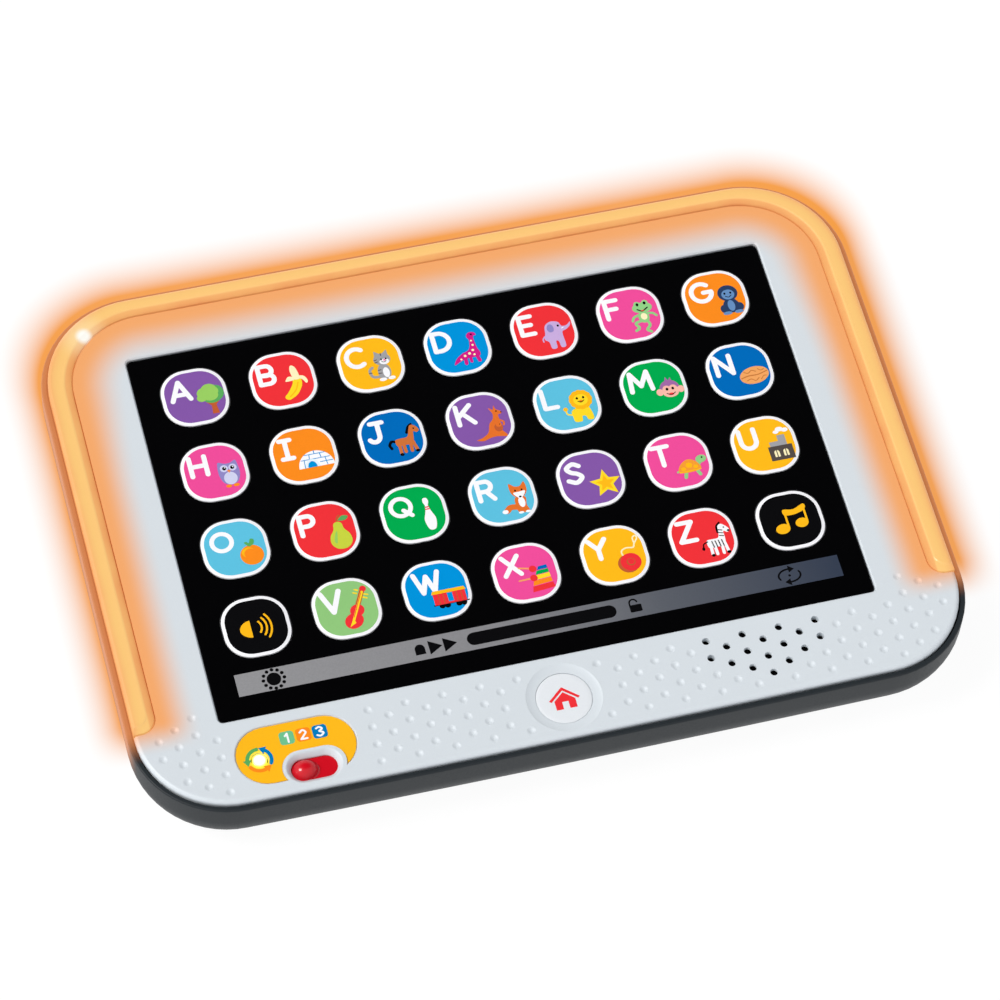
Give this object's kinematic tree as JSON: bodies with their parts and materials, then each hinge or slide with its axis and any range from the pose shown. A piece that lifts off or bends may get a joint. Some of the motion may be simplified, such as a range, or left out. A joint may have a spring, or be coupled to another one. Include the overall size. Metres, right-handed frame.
{
  "type": "toy tablet",
  "caption": "Flat toy tablet: glossy screen plate with picture keys, lit amber border, home button, mode slider, speaker grille and rear battery bay.",
  "frame": {"origin": "middle of the rear face, on the plane the tablet lies on", "axes": "+X to the right of the screen, +Y to its top edge, +Z out of the screen"},
  "size_m": [0.2506, 0.1786, 0.026],
  "materials": {
    "grey_case": "fine moulded texture, satin",
    "white_bezel": "satin moulded plastic with small round dimples",
    "amber_border": "translucent, lit from inside",
    "screen_black": "glossy",
    "key_purple": "printed, glossy",
    "key_red": "printed, glossy",
    "key_yellow": "printed, glossy",
    "key_sky_blue": "printed, glossy",
    "key_pink": "printed, glossy",
    "key_orange": "printed, glossy",
    "key_blue": "printed, glossy",
    "key_light_blue": "printed, glossy",
    "key_green": "printed, glossy",
    "key_light_green": "printed, glossy",
    "key_black": "printed, glossy",
    "silicone": "matt",
    "circuit_board": "solder mask",
    "chip_black": "moulded epoxy",
    "home_white": "satin",
    "label_yellow": "printed vinyl",
    "led_clear": "clear epoxy, lit",
    "slider_red": "polished",
    "steel": "plated",
    "nickel": "nickel plated",
    "cone_black": "pressed paper cone",
    "cell_wrap": "printed wrap, satin",
    "wire_red": "insulated wire",
    "wire_black": "insulated wire"
  },
  "bodies": {
    "case": {"rear_housing": "grey_case", "front_bezel": "white_bezel", "light_border": "amber_border", "screen_plate": "screen_black", "rubber_keypad": "silicone", "main_board": "circuit_board", "control_chip": "chip_black", "home_dome": "silicone", "stage_label": "label_yellow", "stage_led": "led_clear", "mode_switch_body": "steel", "speaker_frame": "steel", "battery_1": "cell_wrap", "battery_2": "cell_wrap", "battery_3": "cell_wrap", "contact_negative": "nickel", "contact_positive": "nickel", "contact_bridge_right": "nickel", "contact_bridge_left": "nickel", "border_led_left": "led_clear", "border_led_right": "led_clear", "case_screw_1": "steel", "case_screw_2": "steel", "case_screw_3": "steel", "case_screw_4": "steel", "battery_lead": "wire_red", "speaker_lead": "wire_black"},
    "key_a_body": {"key_a": "key_purple"},
    "key_b_body": {"key_b": "key_red"},
    "key_c_body": {"key_c": "key_yellow"},
    "key_d_body": {"key_d": "key_sky_blue"},
    "key_e_body": {"key_e": "key_red"},
    "key_f_body": {"key_f": "key_pink"},
    "key_g_body": {"key_g": "key_orange"},
    "key_h_body": {"key_h": "key_pink"},
    "key_i_body": {"key_i": "key_orange"},
    "key_j_body": {"key_j": "key_blue"},
    "key_k_body": {"key_k": "key_purple"},
    "key_l_body": {"key_l": "key_light_blue"},
    "key_m_body": {"key_m": "key_green"},
    "key_n_body": {"key_n": "key_blue"},
    "key_o_body": {"key_o": "key_light_blue"},
    "key_p_body": {"key_p": "key_red"},
    "key_q_body": {"key_q": "key_green"},
    "key_r_body": {"key_r": "key_light_blue"},
    "key_s_body": {"key_s": "key_purple"},
    "key_t_body": {"key_t": "key_pink"},
    "key_u_body": {"key_u": "key_yellow"},
    "key_sound_body": {"key_sound": "key_black"},
    "key_v_body": {"key_v": "key_light_green"},
    "key_w_body": {"key_w": "key_sky_blue"},
    "key_x_body": {"key_x": "key_pink"},
    "key_y_body": {"key_y": "key_yellow"},
    "key_z_body": {"key_z": "key_red"},
    "key_music_body": {"key_music": "key_black"},
    "home_body": {"home_button": "home_white"},
    "slider_body": {"mode_slider": "slider_red"},
    "speaker_cone_body": {"speaker_cone": "cone_black"},
    "battery_door_body": {"battery_door": "grey_case"},
    "door_screw_body": {"battery_door_screw": "steel"}
  },
  "joints": [
    {"name": "battery_door_swing", "type": "hinge", "parent": "case", "child": "battery_door_body", "pos_m": [0, 0.0299, 0.0005], "axis": [1, 0, 0], "range_deg": [0, 60]},
    {"name": "battery_door_screw_turn", "type": "hinge", "parent": "battery_door_body", "child": "door_screw_body", "pos_m": [0, -0.013, 0.001], "axis": [0, 0, 1], "continuous": true},
    {"name": "mode_slide", "type": "slide", "parent": "case", "child": "slider_body", "axis": [1, 0, 0], "range_m": [0, 0.0052]},
    {"name": "home_press", "type": "slide", "parent": "case", "child": "home_body", "axis": [0, 0, -1], "range_m": [0, 0.001], "stiffness_N_per_m": 1500, "springref_m": -0.0001, "deforming": ["home_dome"]},
    {"name": "speaker_cone_travel", "type": "slide", "parent": "case", "child": "speaker_cone_body", "axis": [0, 0, 1], "range_m": [-0.0004, 0.0004], "stiffness_N_per_m": 3000},
    {"name": "key_a_press", "type": "slide", "parent": "case", "child": "key_a_body", "axis": [0, 0, -1], "range_m": [0, 0.0006], "stiffness_N_per_m": 2000, "springref_m": -0.0001, "deforming": ["rubber_keypad"]},
    {"name": "key_b_press", "type": "slide", "parent": "case", "child": "key_b_body", "axis": [0, 0, -1], "range_m": [0, 0.0006], "stiffness_N_per_m": 2000, "springref_m": -0.0001, "deforming": ["rubber_keypad"]},
    {"name": "key_c_press", "type": "slide", "parent": "case", "child": "key_c_body", "axis": [0, 0, -1], "range_m": [0, 0.0006], "stiffness_N_per_m": 2000, "springref_m": -0.0001, "deforming": ["rubber_keypad"]},
    {"name": "key_d_press", "type": "slide", "parent": "case", "child": "key_d_body", "axis": [0, 0, -1], "range_m": [0, 0.0006], "stiffness_N_per_m": 2000, "springref_m": -0.0001, "deforming": ["rubber_keypad"]},
    {"name": "key_e_press", "type": "slide", "parent": "case", "child": "key_e_body", "axis": [0, 0, -1], "range_m": [0, 0.0006], "stiffness_N_per_m": 2000, "springref_m": -0.0001, "deforming": ["rubber_keypad"]},
    {"name": "key_f_press", "type": "slide", "parent": "case", "child": "key_f_body", "axis": [0, 0, -1], "range_m": [0, 0.0006], "stiffness_N_per_m": 2000, "springref_m": -0.0001, "deforming": ["rubber_keypad"]},
    {"name": "key_g_press", "type": "slide", "parent": "case", "child": "key_g_body", "axis": [0, 0, -1], "range_m": [0, 0.0006], "stiffness_N_per_m": 2000, "springref_m": -0.0001, "deforming": ["rubber_keypad"]},
    {"name": "key_h_press", "type": "slide", "parent": "case", "child": "key_h_body", "axis": [0, 0, -1], "range_m": [0, 0.0006], "stiffness_N_per_m": 2000, "springref_m": -0.0001, "deforming": ["rubber_keypad"]},
    {"name": "key_i_press", "type": "slide", "parent": "case", "child": "key_i_body", "axis": [0, 0, -1], "range_m": [0, 0.0006], "stiffness_N_per_m": 2000, "springref_m": -0.0001, "deforming": ["rubber_keypad"]},
    {"name": "key_j_press", "type": "slide", "parent": "case", "child": "key_j_body", "axis": [0, 0, -1], "range_m": [0, 0.0006], "stiffness_N_per_m": 2000, "springref_m": -0.0001, "deforming": ["rubber_keypad"]},
    {"name": "key_k_press", "type": "slide", "parent": "case", "child": "key_k_body", "axis": [0, 0, -1], "range_m": [0, 0.0006], "stiffness_N_per_m": 2000, "springref_m": -0.0001, "deforming": ["rubber_keypad"]},
    {"name": "key_l_press", "type": "slide", "parent": "case", "child": "key_l_body", "axis": [0, 0, -1], "range_m": [0, 0.0006], "stiffness_N_per_m": 2000, "springref_m": -0.0001, "deforming": ["rubber_keypad"]},
    {"name": "key_m_press", "type": "slide", "parent": "case", "child": "key_m_body", "axis": [0, 0, -1], "range_m": [0, 0.0006], "stiffness_N_per_m": 2000, "springref_m": -0.0001, "deforming": ["rubber_keypad"]},
    {"name": "key_n_press", "type": "slide", "parent": "case", "child": "key_n_body", "axis": [0, 0, -1], "range_m": [0, 0.0006], "stiffness_N_per_m": 2000, "springref_m": -0.0001, "deforming": ["rubber_keypad"]},
    {"name": "key_o_press", "type": "slide", "parent": "case", "child": "key_o_body", "axis": [0, 0, -1], "range_m": [0, 0.0006], "stiffness_N_per_m": 2000, "springref_m": -0.0001, "deforming": ["rubber_keypad"]},
    {"name": "key_p_press", "type": "slide", "parent": "case", "child": "key_p_body", "axis": [0, 0, -1], "range_m": [0, 0.0006], "stiffness_N_per_m": 2000, "springref_m": -0.0001, "deforming": ["rubber_keypad"]},
    {"name": "key_q_press", "type": "slide", "parent": "case", "child": "key_q_body", "axis": [0, 0, -1], "range_m": [0, 0.0006], "stiffness_N_per_m": 2000, "springref_m": -0.0001, "deforming": ["rubber_keypad"]},
    {"name": "key_r_press", "type": "slide", "parent": "case", "child": "key_r_body", "axis": [0, 0, -1], "range_m": [0, 0.0006], "stiffness_N_per_m": 2000, "springref_m": -0.0001, "deforming": ["rubber_keypad"]},
    {"name": "key_s_press", "type": "slide", "parent": "case", "child": "key_s_body", "axis": [0, 0, -1], "range_m": [0, 0.0006], "stiffness_N_per_m": 2000, "springref_m": -0.0001, "deforming": ["rubber_keypad"]},
    {"name": "key_t_press", "type": "slide", "parent": "case", "child": "key_t_body", "axis": [0, 0, -1], "range_m": [0, 0.0006], "stiffness_N_per_m": 2000, "springref_m": -0.0001, "deforming": ["rubber_keypad"]},
    {"name": "key_u_press", "type": "slide", "parent": "case", "child": "key_u_body", "axis": [0, 0, -1], "range_m": [0, 0.0006], "stiffness_N_per_m": 2000, "springref_m": -0.0001, "deforming": ["rubber_keypad"]},
    {"name": "key_sound_press", "type": "slide", "parent": "case", "child": "key_sound_body", "axis": [0, 0, -1], "range_m": [0, 0.0006], "stiffness_N_per_m": 2000, "springref_m": -0.0001, "deforming": ["rubber_keypad"]},
    {"name": "key_v_press", "type": "slide", "parent": "case", "child": "key_v_body", "axis": [0, 0, -1], "range_m": [0, 0.0006], "stiffness_N_per_m": 2000, "springref_m": -0.0001, "deforming": ["rubber_keypad"]},
    {"name": "key_w_press", "type": "slide", "parent": "case", "child": "key_w_body", "axis": [0, 0, -1], "range_m": [0, 0.0006], "stiffness_N_per_m": 2000, "springref_m": -0.0001, "deforming": ["rubber_keypad"]},
    {"name": "key_x_press", "type": "slide", "parent": "case", "child": "key_x_body", "axis": [0, 0, -1], "range_m": [0, 0.0006], "stiffness_N_per_m": 2000, "springref_m": -0.0001, "deforming": ["rubber_keypad"]},
    {"name": "key_y_press", "type": "slide", "parent": "case", "child": "key_y_body", "axis": [0, 0, -1], "range_m": [0, 0.0006], "stiffness_N_per_m": 2000, "springref_m": -0.0001, "deforming": ["rubber_keypad"]},
    {"name": "key_z_press", "type": "slide", "parent": "case", "child": "key_z_body", "axis": [0, 0, -1], "range_m": [0, 0.0006], "stiffness_N_per_m": 2000, "springref_m": -0.0001, "deforming": ["rubber_keypad"]},
    {"name": "key_music_press", "type": "slide", "parent": "case", "child": "key_music_body", "axis": [0, 0, -1], "range_m": [0, 0.0006], "stiffness_N_per_m": 2000, "springref_m": -0.0001, "deforming": ["rubber_keypad"]}
  ]
}
